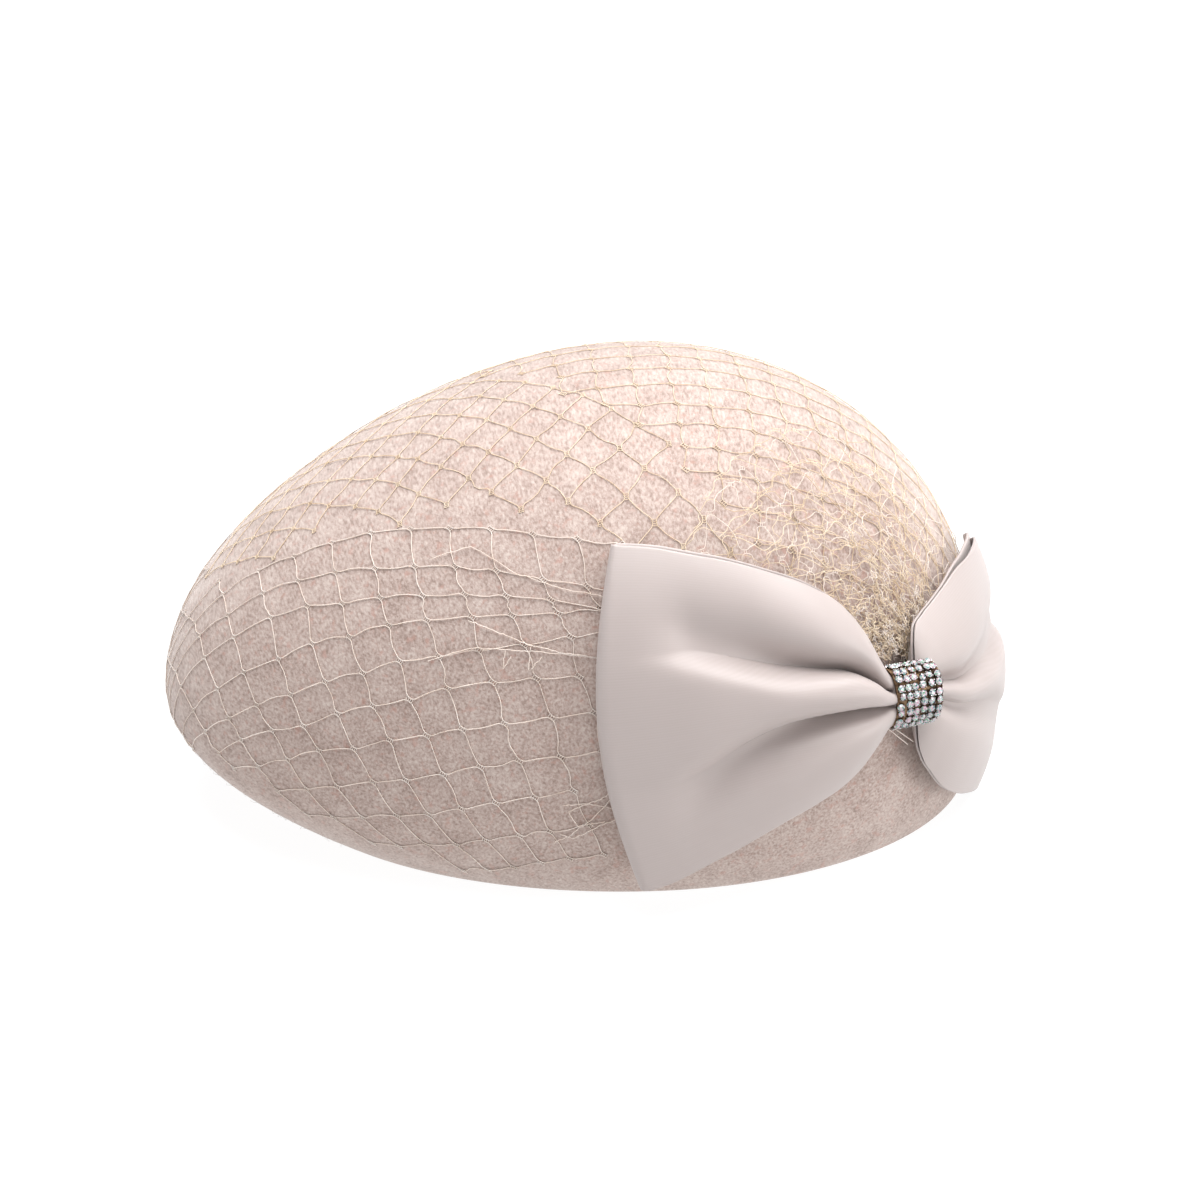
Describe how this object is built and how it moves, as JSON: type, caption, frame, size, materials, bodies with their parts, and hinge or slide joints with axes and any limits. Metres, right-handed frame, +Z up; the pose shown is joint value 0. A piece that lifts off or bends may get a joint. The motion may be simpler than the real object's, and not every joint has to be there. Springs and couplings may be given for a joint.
{
  "type": "brimless teardrop felt hat with net veil and bow",
  "caption": "Brimless teardrop hat of blocked wool felt, hollow and open below, under a diamond net veil, with a pleated satin bow around the back and a stone-set band at its middle.",
  "frame": {"origin": "bottom centre of the hat's box, on the floor that the rim rests on", "axes": "+Z up through the top of the crown, -Y toward the nose at the front, +X toward the side with the bow"},
  "size_m": [0.1992, 0.2562, 0.1328],
  "materials": {
    "wool_felt": "melange wool felt, matt, short loose fibres",
    "net": "stiff knotted net of thin thread",
    "satin": "soft satin ribbon with a fine crosswise rib",
    "crystal": "clear faceted stones in silvery settings"
  },
  "bodies": {
    "root": {"felt_crown": "wool_felt", "veil_net": "net", "bow_loop_left": "satin", "bow_loop_right": "satin", "bow_middle": "satin", "crystal_band": "crystal"}
  },
  "joints": []
}
